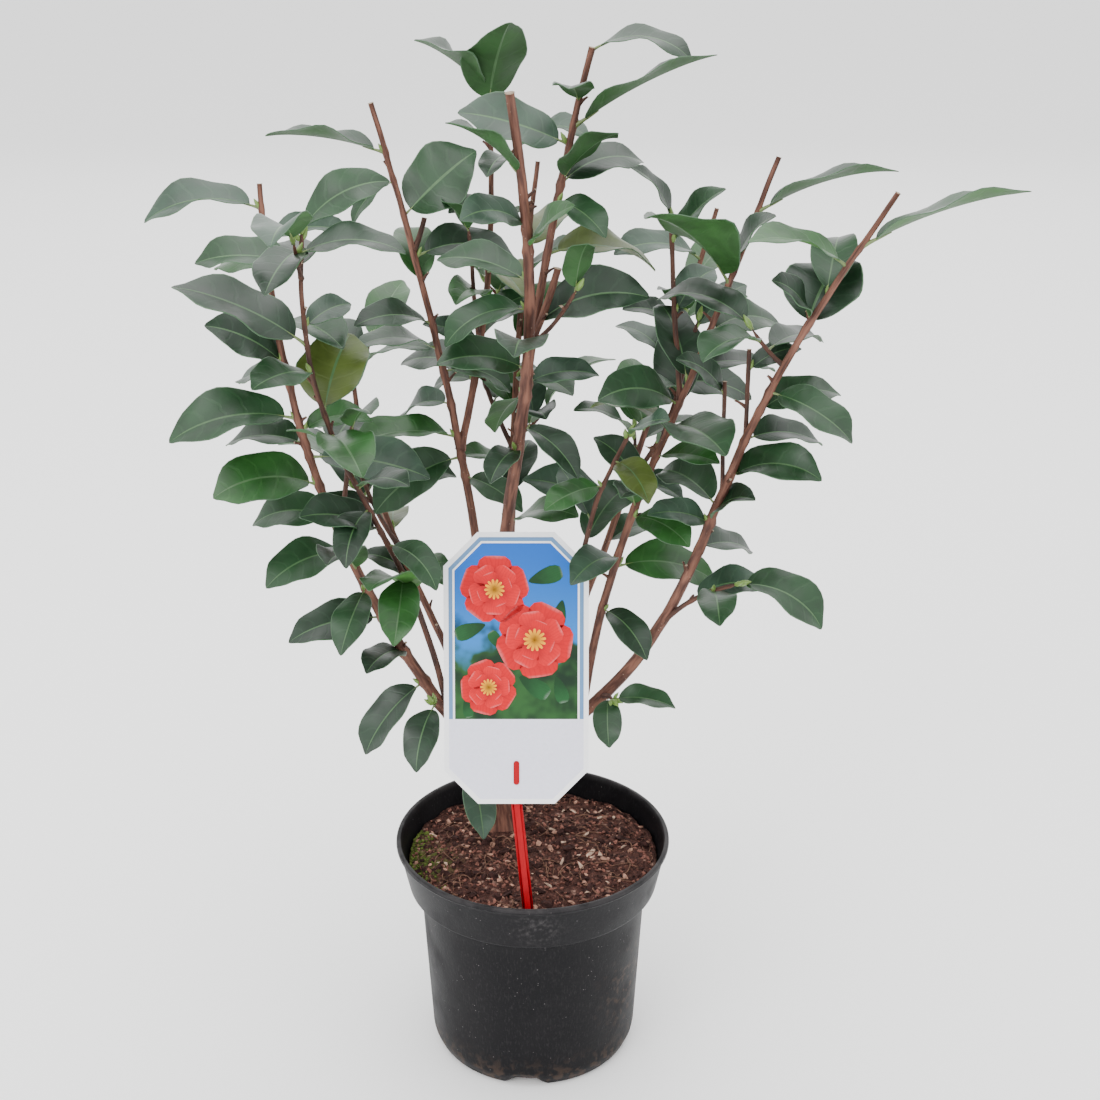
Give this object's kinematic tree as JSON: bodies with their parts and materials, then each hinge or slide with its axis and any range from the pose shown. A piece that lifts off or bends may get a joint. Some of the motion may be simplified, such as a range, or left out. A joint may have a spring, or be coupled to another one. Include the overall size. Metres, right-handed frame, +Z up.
{
  "type": "potted camellia shrub",
  "caption": "Young evergreen camellia shrub: forked trunk, pruned upright stems and glossy pointed leaves, in a tapered black nursery pot of compost with a plant label on a red stem.",
  "frame": {"origin": "centre of the flat underside of the pot", "axes": "+Z up along the pot's axis, -Y towards the front, where the label faces, +X to the right seen from the front"},
  "size_m": [0.5064, 0.3457, 0.6967],
  "materials": {
    "pot_plastic": "satin black, dusty and scuffed",
    "compost": "coarse, moist",
    "label_card": "satin print",
    "label_stem": "glossy red",
    "bark": "smooth young bark",
    "leaf": "glossy"
  },
  "bodies": {
    "root": {"pot": "pot_plastic", "soil": "compost", "label_card": "label_card", "label_stem": "label_stem", "trunk": "bark", "left_outer_bough": "bark", "left_inner_bough": "bark", "left_centre_bough": "bark", "centre_bough": "bark", "right_outer_bough": "bark", "right_centre_bough": "bark", "right_inner_bough": "bark", "back_left_bough": "bark", "back_bough": "bark", "back_right_bough": "bark", "left_outer_foliage": "leaf", "left_inner_foliage": "leaf", "left_centre_foliage": "leaf", "centre_foliage": "leaf", "right_outer_foliage": "leaf", "right_centre_foliage": "leaf", "right_inner_foliage": "leaf", "right_low_foliage": "leaf", "low_left_foliage": "leaf", "low_front_foliage": "leaf", "low_right_foliage": "leaf", "back_left_foliage": "leaf", "back_foliage": "leaf", "back_right_foliage": "leaf"}
  },
  "joints": []
}
